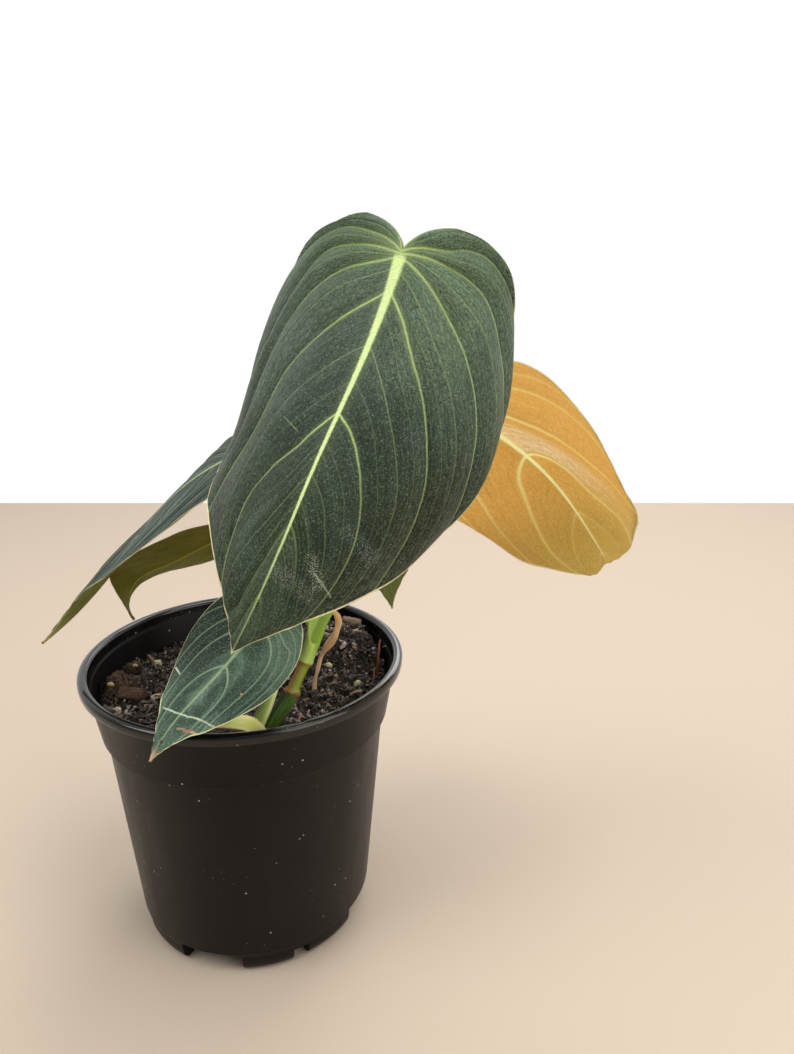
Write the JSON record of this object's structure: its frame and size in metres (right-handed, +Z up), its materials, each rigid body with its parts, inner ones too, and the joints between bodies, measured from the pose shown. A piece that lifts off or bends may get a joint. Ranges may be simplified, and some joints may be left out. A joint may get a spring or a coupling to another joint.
{
  "type": "potted philodendron melanochrysum",
  "caption": "Young velvet-leaved climbing aroid with drooping heart-shaped leaves on thin stalks, in a round tapered plastic nursery pot filled with bark mix.",
  "frame": {"origin": "middle of the pot's flat foot, on the surface it stands on", "axes": "+Z up along the pot's axis, -Y towards the front with the largest leaf, +X towards the bronze leaf at the right"},
  "size_m": [0.2209, 0.1327, 0.2621],
  "materials": {
    "pot_plastic": "satin",
    "potting_mix": "matte",
    "stem_skin": "satin",
    "stalk_skin": "satin",
    "velvet_green_leaf": "matte",
    "bronze_leaf": "matte",
    "sheath_leaf": "satin",
    "dry_sheath_skin": "matte",
    "bark": "matte",
    "perlite_grain": "matte"
  },
  "bodies": {
    "root": {"pot": "pot_plastic", "soil": "potting_mix", "stem": "stem_skin", "petiole_front": "stalk_skin", "petiole_right": "stalk_skin", "petiole_left": "stalk_skin", "petiole_back_left": "stalk_skin", "petiole_back": "stalk_skin", "petiole_low": "stalk_skin", "leaf_front": "velvet_green_leaf", "leaf_right": "bronze_leaf", "leaf_left": "velvet_green_leaf", "leaf_back_left": "velvet_green_leaf", "leaf_back": "velvet_green_leaf", "leaf_low": "velvet_green_leaf", "cataphyll": "sheath_leaf", "dry_sheath": "dry_sheath_skin", "root_fibre": "bark", "bark_chip_1": "bark", "bark_chip_2": "bark", "bark_chip_3": "bark", "bark_chip_4": "bark", "perlite_1": "perlite_grain", "perlite_2": "perlite_grain", "perlite_3": "perlite_grain"}
  },
  "joints": []
}
